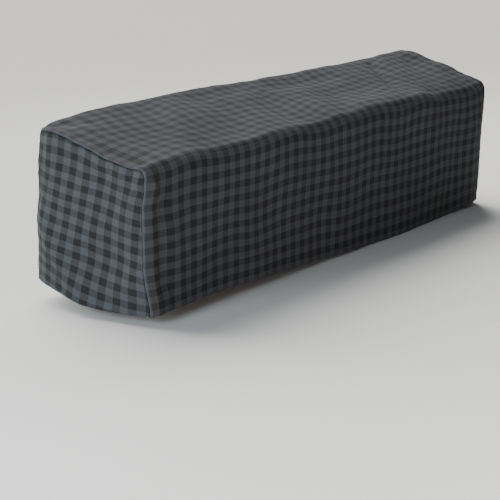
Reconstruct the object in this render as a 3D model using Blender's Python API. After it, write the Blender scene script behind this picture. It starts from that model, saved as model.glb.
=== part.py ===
"""Fitted cloth cover for a piano keyboard, as it hangs in use.

The cover is three cut pieces: one long strip that runs up the front, over the sloping top and down the
back, and a panel sewn into each end. It is hollow and open underneath. The frame is in metres with +X
along the cover, to the right as seen from the front, +Y towards the back and +Z up. Its origin is on
the underside of the top, at the middle, where the cover is held up.

Every piece is first laid out on a plain straight cover, as points of one section curve, and then settled
by one smooth field of shifts, bulges and folds. Both sides of a seam get the same shift, so the seam
stays closed.
"""
import bpy
import numpy as np

# Driving sizes of the plain cover, metres
LENGTH = 1.33
DEPTH = 0.30
BACK_HEIGHT = 0.313
FRONT_HEIGHT = 0.265
FRONT_EDGE_RADIUS = 0.025
BACK_EDGE_RADIUS = 0.018

# Cloth, hem and seam
CLOTH = 0.002
HEM_THICKNESS = 0.0034
HEM_DEPTH = 0.012
HEM_STEP = 0.0015
SEAM_GAP = 0.0003
ROLL_RADIUS = 0.007      # how the strip's side edge rolls round the end of the cover
ROLL_DROP = 0.001
TURN_RADIUS = 0.003      # the tight turn of each cloth into its seam
ALLOWANCE = 0.009        # the cloth past the turn, inside the cover

# Rows and columns of the meshes
HEM_ROWS = 2
SIDE_ROWS = 9
TOP_ROWS = 10
EDGE_ROWS = 4
ROLL_ROWS = 3
TURN_ROWS = 3
COLUMN_SPANS = (
    # up to x, number of columns, starting where the left edge rolls
    (-0.570, 8),
    (0.300, 18),
    (0.570, 9),
    (LENGTH / 2 - ROLL_RADIUS, 6),
)

# How far each corner of the plain cover has moved, metres
CORNER_SHIFTS = (
    # end, side, level, x, y, z
    (-1, -1, 0, 0.002, -0.002, -0.002),
    (-1, 1, 0, 0.004, -0.002, 0.016),
    (-1, -1, 1, 0.001, 0.000, 0.002),
    (-1, 1, 1, 0.014, -0.010, 0.000),
    (1, -1, 0, -0.028, 0.013, -0.010),
    (1, 1, 0, 0.002, -0.003, 0.000),
    (1, -1, 1, -0.010, 0.008, 0.007),
    (1, 1, 1, 0.009, -0.012, 0.006),
)

# Upright corners drawn in by the cloth's own stiffness
SOFT_CORNERS = (
    # end, side, reach, draw
    (-1, -1, 0.030, 0.002),
    (-1, 1, 0.060, 0.010),
    (1, -1, 0.085, 0.010),
    (1, 1, 0.060, 0.007),
)

# Bulge of each end panel, largest low down
END_BULGES = (
    # end, outward bulge, share of it left at the top
    (-1, 0.009, 0.35),
    (1, 0.008, 0.35),
)

# Where the hem hangs lower than a straight line
HEM_DIPS = (
    # face, middle of the dip, spread, drop
    ("left", -0.040, 0.070, 0.008),
    ("right", 0.000, 0.090, 0.006),
    ("front", 0.240, 0.350, 0.015),
    ("front", -0.450, 0.120, -0.003),
    ("front", -0.060, 0.130, 0.003),
    ("front", 0.480, 0.060, 0.004),
    ("left", 0.110, 0.040, -0.004),
    ("back", -0.200, 0.160, 0.004),
    ("back", 0.330, 0.140, 0.005),
)

# Soft ridges and troughs, along a line on a face
FOLDS = (
    # face, from, to, height outward, width
    ("left", (0.118, 0.140), (0.000, 0.000), 0.005, 0.026),
    ("left", (-0.145, 0.080), (-0.145, 0.190), 0.013, 0.055),
    ("left", (0.060, 0.250), (-0.060, 0.200), -0.003, 0.030),
    ("front", (-0.625, 0.190), (-0.620, 0.050), -0.007, 0.016),
    ("front", (-0.665, 0.090), (-0.665, 0.180), -0.004, 0.045),
    ("front", (-0.590, 0.140), (-0.575, 0.000), 0.003, 0.018),
    ("front", (-0.400, 0.200), (-0.330, 0.060), 0.003, 0.050),
    ("front", (-0.120, 0.150), (-0.060, 0.000), -0.003, 0.045),
    ("front", (0.180, 0.220), (0.260, 0.000), 0.003, 0.050),
    ("front", (0.520, 0.200), (0.470, 0.000), -0.004, 0.040),
    ("front", (0.600, 0.180), (0.585, 0.000), 0.004, 0.030),
    ("top", (-0.450, 0.130), (-0.310, 0.140), 0.0135, 0.190),
    ("top", (-0.040, 0.135), (0.210, 0.135), 0.012, 0.230),
    ("top", (0.600, 0.130), (0.640, 0.130), 0.012, 0.180),
    ("top", (0.650, 0.000), (0.650, 0.080), 0.009, 0.045),
    ("top", (0.330, -0.110), (0.430, 0.060), -0.002, 0.022),
    ("top", (0.420, -0.090), (0.520, 0.090), 0.003, 0.022),
    ("top", (0.500, -0.080), (0.590, 0.060), -0.003, 0.020),
    ("top", (-0.560, -0.080), (-0.480, 0.070), -0.002, 0.035),
    ("top", (-0.200, -0.020), (0.150, 0.010), -0.003, 0.060),
    ("right", (-0.080, 0.200), (0.030, 0.020), 0.004, 0.030),
    ("back", (-0.450, 0.180), (-0.400, 0.000), 0.004, 0.040),
    ("back", (-0.050, 0.200), (0.020, 0.000), -0.004, 0.045),
    ("back", (0.420, 0.190), (0.460, 0.000), 0.004, 0.040),
)

# Cloth that turns away past a line: the lower back corner of the left end
TURNED_CORNER = {"face": "left", "start": (0.135, 0.150), "end": (0.000, -0.010), "slope": 0.120}

# How far each kind of shift reaches
FACE_FADE = 0.070        # into the cover, from the face that a fold belongs to
END_FADE = 0.100         # along the cover, from the end that bulges
BULGE_RISE = 0.25        # share of the height over which a bulge fills out below the top seam
HEM_REACH = 0.130        # up from the hem
BEND_SOFTNESS = 0.050    # before the turned corner leans at its full slope

STRIP_COLOUR = (0.045, 0.046, 0.048, 1.0)
PANEL_COLOUR = (0.058, 0.068, 0.072, 1.0)


def ease(value):
    """A smooth step from 0 to 1 as the value goes from 0 to 1."""
    value = np.clip(value, 0.0, 1.0)
    return value * value * (3.0 - 2.0 * value)


def top_height(y):
    """Height of the plain cover's sloping top above its hem."""
    return FRONT_HEIGHT + (BACK_HEIGHT - FRONT_HEIGHT) * (y / DEPTH + 0.5)


def face_weights(points):
    """How much each point belongs to each face, from 1 on the face to 0 well inside."""
    x, y, z = points.T
    return {
        "front": ease(1.0 - (y + DEPTH / 2) / FACE_FADE),
        "back": ease(1.0 - (DEPTH / 2 - y) / FACE_FADE),
        "left": ease(1.0 - (x + LENGTH / 2) / FACE_FADE),
        "right": ease(1.0 - (LENGTH / 2 - x) / FACE_FADE),
        "top": ease(1.0 - (top_height(y) - z) / FACE_FADE),
    }


def face_plane(face, points):
    """Two coordinates along a face, and the direction out of it."""
    x, y, z = points.T
    return {
        "front": ((x, z), (0.0, -1.0, 0.0)),
        "back": ((x, z), (0.0, 1.0, 0.0)),
        "left": ((y, z), (-1.0, 0.0, 0.0)),
        "right": ((y, z), (1.0, 0.0, 0.0)),
        "top": ((x, y), (0.0, 0.0, 1.0)),
    }[face]


def distance_to_line(across, along, start, end):
    """Distance of each point from the stretch between two points of a face."""
    run = np.subtract(end, start)
    share = ((across - start[0]) * run[0] + (along - start[1]) * run[1]) / (run @ run)
    share = np.clip(share, 0.0, 1.0)
    return np.hypot(across - start[0] - share * run[0], along - start[1] - share * run[1])


def corner_shift(points):
    """Shift of the eight corners, shared out to every point in proportion to nearness."""
    x, y, z = points.T
    across = np.clip(x / LENGTH + 0.5, 0.0, 1.0)
    inward = np.clip(y / DEPTH + 0.5, 0.0, 1.0)
    upward = np.clip(z / top_height(y), 0.0, 1.0)
    shift = np.zeros_like(points)
    for end, side, level, *move in CORNER_SHIFTS:
        share = across if end > 0 else 1.0 - across
        share = share * (inward if side > 0 else 1.0 - inward)
        share = share * (upward if level else 1.0 - upward)
        shift += share[:, None] * np.array(move)
    return shift


def soft_corner_shift(points):
    """Pull of the upright corners towards the middle, over the reach of each."""
    x, y, _ = points.T
    shift = np.zeros_like(points)
    for end, side, reach, draw in SOFT_CORNERS:
        near_end = np.clip(1.0 - (LENGTH / 2 - end * x) / reach, 0.0, 1.0)
        near_side = np.clip(1.0 - (DEPTH / 2 - side * y) / reach, 0.0, 1.0)
        pull = draw * (near_end * near_side) ** 2
        shift[:, 0] -= end * pull
        shift[:, 1] -= side * pull
    return shift


def end_bulge_shift(points):
    """Outward bulge of the ends: a parabola across the depth, fuller towards the hem."""
    x, y, z = points.T
    across = np.clip(1.0 - (2.0 * y / DEPTH) ** 2, 0.0, 1.0)
    upward = np.clip(z / top_height(y), 0.0, 1.0)
    shift = np.zeros_like(points)
    for end, bulge, share_at_top in END_BULGES:
        near_end = ease(1.0 - (LENGTH / 2 - end * x) / END_FADE)
        at_top = share_at_top * ease((1.0 - upward) / BULGE_RISE)
        fullness = at_top + (1.0 - share_at_top) * (1.0 - upward)
        shift[:, 0] += end * bulge * near_end * across * fullness
    return shift


def hem_shift(points):
    """Lower and higher stretches of the hem, fading out up the face."""
    weights = face_weights(points)
    low = ease(1.0 - points[:, 2] / HEM_REACH)
    shift = np.zeros_like(points)
    for face, middle, spread, drop in HEM_DIPS:
        along = face_plane(face, points)[0][0]
        shift[:, 2] -= drop * low * weights[face] * np.exp(-((along - middle) / spread) ** 2)
    return shift


def fold_shift(points):
    """Ridges and troughs: a bell curve across each fold's line, along the face's direction."""
    weights = face_weights(points)
    shift = np.zeros_like(points)
    for face, start, end, height, width in FOLDS:
        (across, along), outward = face_plane(face, points)
        distance = distance_to_line(across, along, start, end)
        amount = height * weights[face] * np.exp(-(distance / width) ** 2)
        shift += amount[:, None] * np.array(outward)
    return shift


def turned_corner_shift(points):
    """Cloth past the line of the turned corner leans inward, more the further it is."""
    bend = TURNED_CORNER
    (across, along), outward = face_plane(bend["face"], points)
    run = np.subtract(bend["end"], bend["start"])
    run = run / np.hypot(*run)
    past = (along - bend["start"][1]) * run[0] - (across - bend["start"][0]) * run[1]
    past = np.maximum(past, 0.0)
    amount = -bend["slope"] * past ** 2 / (past + BEND_SOFTNESS)
    near_end = face_weights(points)[bend["face"]]
    return (amount * near_end)[:, None] * np.array(outward)


def settle(points):
    """Moves points of the plain cover to where the cloth hangs."""
    points = np.asarray(points, dtype=float)
    return (points + corner_shift(points) + soft_corner_shift(points) + end_bulge_shift(points)
            + hem_shift(points) + fold_shift(points) + turned_corner_shift(points))


def line_stations(start, end, shares):
    """Points of a straight run, each with its outward direction, turned left of the run."""
    run = np.subtract(end, start)
    outward = np.array((-run[1], run[0])) / np.hypot(*run)
    return [(*(start + share * run), *outward) for share in shares]


def arc_stations(corner, radius, run_in, run_out, count):
    """Points of a round edge that joins two runs at a corner, without its two ends."""
    turn = np.arccos(np.clip(np.dot(run_in, run_out), -1.0, 1.0))
    start_normal = np.array((-run_in[1], run_in[0]))
    first = corner - radius * np.tan(turn / 2) * np.asarray(run_in)
    centre = first - radius * start_normal
    stations = []
    for step in range(1, count):
        angle = -turn * step / count
        cosine, sine = np.cos(angle), np.sin(angle)
        normal = np.array((start_normal[0] * cosine - start_normal[1] * sine,
                           start_normal[0] * sine + start_normal[1] * cosine))
        stations.append((*(centre + radius * normal), *normal))
    return stations


def section_stations():
    """Section of the plain cover from the front hem over the top to the back hem.

    Each row is y, z and the outward direction's y and z. Straight runs meet in round edges.
    """
    front_corner = np.array((-DEPTH / 2, FRONT_HEIGHT))
    back_corner = np.array((DEPTH / 2, BACK_HEIGHT))
    up = np.array((0.0, 1.0))
    slope = (back_corner - front_corner) / np.hypot(*(back_corner - front_corner))
    front_cut = FRONT_EDGE_RADIUS * np.tan(np.arccos(up @ slope) / 2)
    back_cut = BACK_EDGE_RADIUS * np.tan(np.arccos(-up @ slope) / 2)

    hem = [0.0, HEM_DEPTH, HEM_DEPTH + HEM_STEP]
    front_run = FRONT_HEIGHT - front_cut
    back_run = BACK_HEIGHT - back_cut
    front_heights = hem + list(np.linspace(hem[-1], front_run, SIDE_ROWS + 1)[1:])
    back_heights = hem + list(np.linspace(hem[-1], back_run, SIDE_ROWS + 1)[1:])

    stations = line_stations((-DEPTH / 2, 0.0), (-DEPTH / 2, 1.0), front_heights)
    stations += arc_stations(front_corner, FRONT_EDGE_RADIUS, up, slope, EDGE_ROWS)
    stations += line_stations(front_corner + front_cut * slope, back_corner - back_cut * slope,
                              np.linspace(0.0, 1.0, TOP_ROWS + 1))
    stations += arc_stations(back_corner, BACK_EDGE_RADIUS, slope, -up, EDGE_ROWS)
    stations += [(DEPTH / 2, height, 1.0, 0.0) for height in reversed(back_heights)]
    return np.array(stations)


def round_path(centre, radius, start_degrees, end_degrees, count):
    """Points of an arc in the plane of a seam, as outward distance and height."""
    angles = np.radians(np.linspace(start_degrees, end_degrees, count + 1))
    return np.column_stack((centre[0] + radius * np.cos(angles), centre[1] + radius * np.sin(angles)))


def strip_edge_path():
    """Side edge of the strip: it rolls round the end, turns in and runs on inside the cover.

    Each row is the distance past the cover's end and the height above the section curve.
    """
    roll = round_path((-ROLL_RADIUS, -ROLL_RADIUS), ROLL_RADIUS, 90.0, 0.0, ROLL_ROWS)
    turn_height = -ROLL_RADIUS - ROLL_DROP
    turn = round_path((-TURN_RADIUS, turn_height), TURN_RADIUS, 0.0, -90.0, TURN_ROWS)
    tip = turn[-1] - (ALLOWANCE, 0.0)
    return np.vstack((roll, turn, tip))


def panel_edge_path():
    """Edge of an end panel from the tip of its allowance to the start of its flat field."""
    seam_height = -ROLL_RADIUS - ROLL_DROP - TURN_RADIUS - SEAM_GAP
    turn = round_path((-TURN_RADIUS, seam_height - TURN_RADIUS), TURN_RADIUS, 90.0, 0.0, TURN_ROWS)
    tip = turn[0] - (ALLOWANCE, 0.0)
    return np.vstack((tip, turn))


def on_section(stations, along, height):
    """Points at one place along the cover and one height above each station of the section."""
    offset = stations[:, :2] + height * stations[:, 2:]
    return np.column_stack((np.full(len(stations), along), offset))


def grid_faces(indices):
    """Four-sided faces between the rows and columns of an array of point numbers."""
    return np.stack((indices[:-1, :-1], indices[1:, :-1], indices[1:, 1:], indices[:-1, 1:]),
                    axis=-1).reshape(-1, 4)


def strip_surface():
    """Outer surface of the strip: points, faces and the points that lie on its hems."""
    stations = section_stations()
    edge = strip_edge_path()
    half = LENGTH / 2
    middle = [-half + ROLL_RADIUS]
    for span_end, count in COLUMN_SPANS:
        middle += list(np.linspace(middle[-1], span_end, count + 1)[1:])
    places = [(-half - past, height) for past, height in edge[::-1]]
    places += [(x, 0.0) for x in middle[1:-1]]
    places += [(half + past, height) for past, height in edge]
    points = np.vstack([on_section(stations, along, height) for along, height in places])
    indices = np.arange(len(points)).reshape(len(places), len(stations))
    flat = np.array([height == 0.0 for _, height in places])
    low = stations[:, 1] < HEM_DEPTH + HEM_STEP / 2
    hem = indices[np.ix_(flat, low)].ravel()
    return points, grid_faces(indices), hem


def panel_field(border, rows, columns):
    """Points inside an end panel, blended from its front, top, back and hem lines.

    The border runs up the front, over the top and down the back. Each inside point is the sum of
    its place between front and back and between hem and top, less its place between the corners.
    """
    front = border[:rows + 1]
    top = border[rows:rows + columns + 1]
    back = border[rows + columns:][::-1]
    across = np.linspace(0.0, 1.0, columns + 1)[:, None, None]
    upward = np.linspace(0.0, 1.0, rows + 1)[None, :, None]
    hem = front[0] + across[:, 0] * (back[0] - front[0])
    sides = (1 - across) * front[None] + across * back[None]
    ends = (1 - upward) * hem[:, None] + upward * top[:, None]
    corners = ((1 - across) * ((1 - upward) * front[0] + upward * front[-1])
               + across * ((1 - upward) * back[0] + upward * back[-1]))
    return sides + ends - corners


def panel_surface(end):
    """Outer surface of an end panel: points, faces and the points that lie on its hem."""
    stations = section_stations()
    rows = HEM_ROWS + SIDE_ROWS + EDGE_ROWS // 2
    columns = TOP_ROWS + EDGE_ROWS
    edge = panel_edge_path()
    rings = [on_section(stations, end * (LENGTH / 2 + past), height) for past, height in edge]
    field = panel_field(rings[-1], rows, columns)

    field_indices = np.arange((columns + 1) * (rows + 1)).reshape(columns + 1, rows + 1)
    border = np.concatenate((field_indices[0], field_indices[1:, -1], field_indices[-1, -2::-1]))
    first = field_indices.size
    ring_indices = first + np.arange((len(rings) - 1) * len(stations)).reshape(-1, len(stations))
    ring_indices = np.vstack((ring_indices, border))

    points = np.vstack([field.reshape(-1, 3)] + rings[:-1])
    faces = np.vstack((grid_faces(field_indices), grid_faces(ring_indices)))
    if end < 0:
        faces = faces[:, ::-1]
    hem = field_indices[1:-1, :HEM_ROWS].ravel()
    return points, faces, hem


def add_material(name, colour, roughness):
    """A cloth material with one colour and roughness."""
    material = bpy.data.materials.new(name)
    material.use_nodes = True
    shader = material.node_tree.nodes["Principled BSDF"]
    shader.inputs["Base Color"].default_value = colour
    shader.inputs["Roughness"].default_value = roughness
    shader.inputs["Metallic"].default_value = 0.0
    return material


def add_cloth(name, surface, colour, origin_height):
    """A piece of cloth: its settled outer surface, thickened inward, thicker at its hem."""
    points, faces, hem = surface
    placed = settle(points) - (0.0, 0.0, origin_height)
    mesh = bpy.data.meshes.new(name)
    mesh.from_pydata(placed.tolist(), [], faces.tolist())
    mesh.shade_smooth()
    mesh.materials.append(add_material(name + "_cloth", colour, 0.85))
    piece = bpy.data.objects.new(name, mesh)
    bpy.context.scene.collection.objects.link(piece)

    group = piece.vertex_groups.new(name="hem")
    group.add([int(index) for index in hem], 1.0, "REPLACE")
    solid = piece.modifiers.new("Cloth thickness", "SOLIDIFY")
    solid.thickness = HEM_THICKNESS
    solid.offset = -1.0
    solid.use_even_offset = True
    solid.use_rim = True
    solid.vertex_group = group.name
    solid.thickness_vertex_group = CLOTH / HEM_THICKNESS
    return piece


def main():
    """Builds the cover's three pieces."""
    for item in list(bpy.data.objects):
        bpy.data.objects.remove(item, do_unlink=True)

    middle_of_top = settle([(0.0, 0.0, top_height(0.0))])[0]
    origin_height = middle_of_top[2] - CLOTH
    add_cloth("main_strip", strip_surface(), STRIP_COLOUR, origin_height)
    add_cloth("end_panel_left", panel_surface(-1), PANEL_COLOUR, origin_height)
    add_cloth("end_panel_right", panel_surface(1), PANEL_COLOUR, origin_height)


main()
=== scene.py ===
# %% [markdown]
# # A fitted cloth cover for a piano keyboard
#
# The real cover is sewn from three pieces of checked twill: one long strip that runs up the front, over the
# sloping top and down the back, and a panel in each end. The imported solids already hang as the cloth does,
# but they are coarse and plain. Here each piece is made again as thin cloth on a fine mesh. It follows the
# same folds, and it gains what only a fine mesh can show: turned hems, puckered seams, creases, stitches
# and a weave.

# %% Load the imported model
import functools

import bpy
import numpy as np
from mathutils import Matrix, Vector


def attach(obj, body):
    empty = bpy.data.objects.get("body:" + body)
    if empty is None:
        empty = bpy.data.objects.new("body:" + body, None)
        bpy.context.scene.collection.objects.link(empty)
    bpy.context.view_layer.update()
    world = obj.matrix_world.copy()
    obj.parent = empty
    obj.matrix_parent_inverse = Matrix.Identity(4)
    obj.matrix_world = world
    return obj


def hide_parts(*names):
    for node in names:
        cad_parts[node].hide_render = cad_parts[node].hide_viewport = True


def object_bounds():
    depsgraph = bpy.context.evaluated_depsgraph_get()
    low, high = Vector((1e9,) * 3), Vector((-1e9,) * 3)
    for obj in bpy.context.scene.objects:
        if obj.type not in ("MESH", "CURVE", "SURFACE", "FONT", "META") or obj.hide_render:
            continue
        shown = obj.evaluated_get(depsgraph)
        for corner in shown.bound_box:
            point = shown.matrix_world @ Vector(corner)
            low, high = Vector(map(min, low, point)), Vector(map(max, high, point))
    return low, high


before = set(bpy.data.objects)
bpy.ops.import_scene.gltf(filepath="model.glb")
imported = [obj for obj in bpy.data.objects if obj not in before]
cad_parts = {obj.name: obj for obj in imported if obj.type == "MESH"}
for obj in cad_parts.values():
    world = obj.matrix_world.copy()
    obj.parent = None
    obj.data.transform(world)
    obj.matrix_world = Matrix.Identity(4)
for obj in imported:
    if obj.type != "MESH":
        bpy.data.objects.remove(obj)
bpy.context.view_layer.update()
print("nodes:", sorted(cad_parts))

# %% [markdown]
# ## The camera
#
# The camera comes first, so that everything after it can be judged in the picture. It stands to the left
# of the front and a little above the top, and looks down by about 14 degrees. A long lens keeps the far
# end large, as in a product picture taken from some metres away.

# %% Camera
CAMERA_PLACE = (-2.686, -1.810, 0.470)
CAMERA_HEADING = 54.5     # degrees to the right of straight back
CAMERA_DIP = 13.88        # degrees below level
LENS_MM = 110.5
SENSOR_MM = 36.0


def add_object(name, data):
    """Puts a camera, a mesh or a light into the scene."""
    thing = bpy.data.objects.new(name, data)
    bpy.context.scene.collection.objects.link(thing)
    return thing


camera_data = bpy.data.cameras.new("Camera")
camera_data.lens = LENS_MM
camera_data.sensor_width = SENSOR_MM
camera = add_object("Camera", camera_data)
camera.location = CAMERA_PLACE
camera.rotation_euler = np.radians((90.0 - CAMERA_DIP, 0.0, -CAMERA_HEADING))
bpy.context.scene.camera = camera
print(f"camera at {CAMERA_PLACE}, {LENS_MM} mm lens")

# %% [markdown]
# ## The plain cover
#
# A cover that has never been used would be a straight box with a sloping lid and round upper edges. That
# plain cover is easy to describe, so every point starts on it. Its length runs along X, its depth along Y,
# and its height is measured up from the hem. The sizes are those of the solids, apart from the cloth's own
# thickness and the tight turn at the seams, which are finer here.

# %% Sizes of the plain cover, in metres
LENGTH = 1.33
DEPTH = 0.30
BACK_HEIGHT = 0.313
FRONT_HEIGHT = 0.265
FRONT_EDGE_RADIUS = 0.025
BACK_EDGE_RADIUS = 0.018
SOLID_CLOTH = 0.002       # thickness of the solids, which sets the height of the origin

ENDS = ((-1, "left"), (1, "right"))


def clamp(value):
    """The value, held between 0 and 1."""
    return np.clip(value, 0.0, 1.0)


def ease(value):
    """A smooth step from 0 to 1 as the value goes from 0 to 1."""
    value = clamp(value)
    return value * value * (3.0 - 2.0 * value)


def top_height(y):
    """Height of the plain cover's sloping top above its hem."""
    return FRONT_HEIGHT + (BACK_HEIGHT - FRONT_HEIGHT) * (y / DEPTH + 0.5)


def up_share(points):
    """Height of each point as a share of the plain cover's height there."""
    return clamp(points[:, 2] / top_height(points[:, 1]))


def nearness(points, end, side, reach):
    """Nearness to an upright edge: the product of two shares, each from 1 at its face to 0 at the reach."""
    near_end = clamp(1.0 - (LENGTH / 2 - end * points[:, 0]) / reach)
    return near_end * clamp(1.0 - (DEPTH / 2 - side * points[:, 1]) / reach)


print(f"plain cover: {LENGTH} x {DEPTH} m, {FRONT_HEIGHT} m high in front and {BACK_HEIGHT} m behind")

# %% [markdown]
# ## How the cloth has settled
#
# Cloth that hangs over something is never straight. Its corners have moved, its upright edges are drawn in,
# its ends belly out and its hem dips. One smooth field of shifts does all of this. It depends only on where
# a point lies on the plain cover, so the two sides of a seam move together and the seam stays closed. The
# tables below are the ones that shape the solids.

# %% Corners, soft edges and bulges
CORNER_SHIFTS = (
    # end, side, level, x, y, z
    (-1, -1, 0, 0.002, -0.002, -0.002),
    (-1, 1, 0, 0.004, -0.002, 0.016),
    (-1, -1, 1, 0.001, 0.000, 0.002),
    (-1, 1, 1, 0.014, -0.010, 0.000),
    (1, -1, 0, -0.028, 0.013, -0.010),
    (1, 1, 0, 0.002, -0.003, 0.000),
    (1, -1, 1, -0.010, 0.008, 0.007),
    (1, 1, 1, 0.009, -0.012, 0.006),
)
SOFT_CORNERS = (
    # end, side, reach, draw
    (-1, -1, 0.030, 0.002),
    (-1, 1, 0.060, 0.010),
    (1, -1, 0.085, 0.010),
    (1, 1, 0.060, 0.007),
)
END_BULGES = (
    # end, outward bulge, share of it left at the top
    (-1, 0.009, 0.35),
    (1, 0.008, 0.35),
)
END_FADE = 0.100          # along the cover, from the end that bulges
BULGE_RISE = 0.25         # share of the height over which a bulge fills out below the top seam
print(len(CORNER_SHIFTS), "corners,", len(SOFT_CORNERS), "soft edges,", len(END_BULGES), "bulges")

# %% Shifts of the corners, the edges and the ends
def corner_shift(points):
    """Shift of the eight corners, shared out to every point in proportion to nearness."""
    upward = up_share(points)
    shift = np.zeros_like(points)
    for end, side, level, *move in CORNER_SHIFTS:
        share = clamp(0.5 + end * points[:, 0] / LENGTH) * clamp(0.5 + side * points[:, 1] / DEPTH)
        share = share * (upward if level else 1.0 - upward)
        shift += share[:, None] * np.array(move)
    return shift


def soft_corner_shift(points):
    """Pull of the upright corners towards the middle: the draw times the square of the nearness."""
    shift = np.zeros_like(points)
    for end, side, reach, draw in SOFT_CORNERS:
        pull = draw * nearness(points, end, side, reach) ** 2
        shift -= pull[:, None] * (end, side, 0.0)
    return shift


def end_bulge_shift(points):
    """Outward bulge of the ends: a parabola across the depth, fuller towards the hem."""
    x, y, _ = points.T
    across = clamp(1.0 - (2.0 * y / DEPTH) ** 2)
    downward = 1.0 - up_share(points)
    shift = np.zeros_like(points)
    for end, bulge, share_at_top in END_BULGES:
        near_end = ease(1.0 - (LENGTH / 2 - end * x) / END_FADE)
        fullness = share_at_top * ease(downward / BULGE_RISE) + (1.0 - share_at_top) * downward
        shift[:, 0] += end * bulge * near_end * across * fullness
    return shift


end_middle = np.array([[-LENGTH / 2, 0.0, 0.0]])
print("bulge at the middle of the left end's hem, mm:", np.round(end_bulge_shift(end_middle) * 1000, 2))

# %% [markdown]
# ## Folds and the hang of the hem
#
# A soft fold is a ridge or a trough along a short line on one face. Its height falls off beside the line
# as a bell curve does. The hem's dips are bell curves along the hem that fade out up the face.

# %% Faces, dips and folds
FACE_FADE = 0.070         # into the cover, from the face that a fold belongs to
HEM_REACH = 0.130         # up from the hem
FACES = {
    # face: the two axes along it, and the direction out of it
    "front": ((0, 2), (0.0, -1.0, 0.0)),
    "back": ((0, 2), (0.0, 1.0, 0.0)),
    "left": ((1, 2), (-1.0, 0.0, 0.0)),
    "right": ((1, 2), (1.0, 0.0, 0.0)),
    "top": ((0, 1), (0.0, 0.0, 1.0)),
}


def in_metres(tables):
    """Rows of face, from, to, height and width in metres, out of a table in millimetres for each face."""
    return [(face, row[:2], row[2:4], *row[4:])
            for face, table in tables.items() for row in np.array(table) / 1000]


HEM_DIPS = (
    # face, middle of the dip, spread, drop
    ("left", -0.040, 0.070, 0.008),
    ("right", 0.000, 0.090, 0.006),
    ("front", 0.240, 0.350, 0.015),
    ("front", -0.450, 0.120, -0.003),
    ("front", -0.060, 0.130, 0.003),
    ("front", 0.480, 0.060, 0.004),
    ("left", 0.110, 0.040, -0.004),
    ("back", -0.200, 0.160, 0.004),
    ("back", 0.330, 0.140, 0.005),
)
FOLDS = in_metres({
    # from, to, height outward, width, in millimetres along the face
    "left": [
        (118, 140, 0, 0, 5, 26),
        (-145, 80, -145, 190, 13, 55),
        (60, 250, -60, 200, -3, 30),
    ],
    "front": [
        (-625, 190, -620, 50, -7, 16),
        (-665, 90, -665, 180, -4, 45),
        (-590, 140, -575, 0, 3, 18),
        (-400, 200, -330, 60, 3, 50),
        (-120, 150, -60, 0, -3, 45),
        (180, 220, 260, 0, 3, 50),
        (520, 200, 470, 0, -4, 40),
        (600, 180, 585, 0, 4, 30),
    ],
    "top": [
        (-450, 130, -310, 140, 13.5, 190),
        (-40, 135, 210, 135, 12, 230),
        (600, 130, 640, 130, 12, 180),
        (650, 0, 650, 80, 9, 45),
        (330, -110, 430, 60, -2, 22),
        (420, -90, 520, 90, 3, 22),
        (500, -80, 590, 60, -3, 20),
        (-560, -80, -480, 70, -2, 35),
        (-200, -20, 150, 10, -3, 60),
    ],
    "right": [
        (-80, 200, 30, 20, 4, 30),
    ],
    "back": [
        (-450, 180, -400, 0, 4, 40),
        (-50, 200, 20, 0, -4, 45),
        (420, 190, 460, 0, 4, 40),
    ],
})
print(len(HEM_DIPS), "dips of the hem,", len(FOLDS), "soft folds")

# %% Shifts of the hem and of the folds
def face_weights(points):
    """How much each point belongs to each face, from 1 on the face to 0 well inside."""
    x, y, z = points.T
    depths = {"front": y + DEPTH / 2, "back": DEPTH / 2 - y, "left": x + LENGTH / 2,
              "right": LENGTH / 2 - x, "top": top_height(y) - z}
    return {face: ease(1.0 - depth / FACE_FADE) for face, depth in depths.items()}


def face_plane(face, points):
    """Two coordinates along a face, and the direction out of it."""
    axes, outward = FACES[face]
    return points[:, axes].T, np.array(outward)


def hem_shift(points):
    """Lower and higher stretches of the hem: a bell curve along it, fading out up the face."""
    weights = face_weights(points)
    low = ease(1.0 - points[:, 2] / HEM_REACH)
    shift = np.zeros_like(points)
    for face, middle, spread, drop in HEM_DIPS:
        along = face_plane(face, points)[0][0]
        shift[:, 2] -= drop * low * weights[face] * np.exp(-((along - middle) / spread) ** 2)
    return shift


def fold_shift(points, folds, tapered=False):
    """Ridges and troughs: a bell curve across each fold's line, along the face's direction.

    A tapered fold is strongest at its start and smoothly gone at its end.
    """
    weights = face_weights(points)
    shift = np.zeros_like(points)
    for face, start, end, height, width in folds:
        (across, along), outward = face_plane(face, points)
        run = end - start
        share = ((across - start[0]) * run[0] + (along - start[1]) * run[1]) / (run @ run)
        held = clamp(share)
        distance = np.hypot(across - start[0] - held * run[0], along - start[1] - held * run[1])
        amount = height * weights[face] * (ease(1.0 - share) if tapered else 1.0)
        shift += (amount * np.exp(-(distance / width) ** 2))[:, None] * outward
    return shift


TOP_MIDDLE = np.array([[0.0, 0.0, top_height(0.0)]])
print("folds at the middle of the top, mm:", np.round(fold_shift(TOP_MIDDLE, FOLDS) * 1000, 2))

# %% [markdown]
# ## The turned corner
#
# Low down at the back of the left end the cloth has no support and swings inward past a slanting line. The
# lean grows with the distance past that line, gently at first and then at a steady slope.

# %% Turned corner and the whole settling
TURNED_CORNER = {"face": "left", "start": (0.135, 0.150), "end": (0.000, -0.010),
                 "slope": 0.120, "softness": 0.050}


def turned_corner_shift(points, corner):
    """Lean inward past a line: the slope times d squared over d plus the softness."""
    (across, along), outward = face_plane(corner["face"], points)
    run = np.subtract(corner["end"], corner["start"])
    run = run / np.hypot(*run)
    past = (along - corner["start"][1]) * run[0] - (across - corner["start"][0]) * run[1]
    past = np.maximum(past, 0.0)
    amount = -corner["slope"] * past ** 2 / (past + corner["softness"])
    near_end = face_weights(points)[corner["face"]]
    return (amount * near_end)[:, None] * outward


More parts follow.
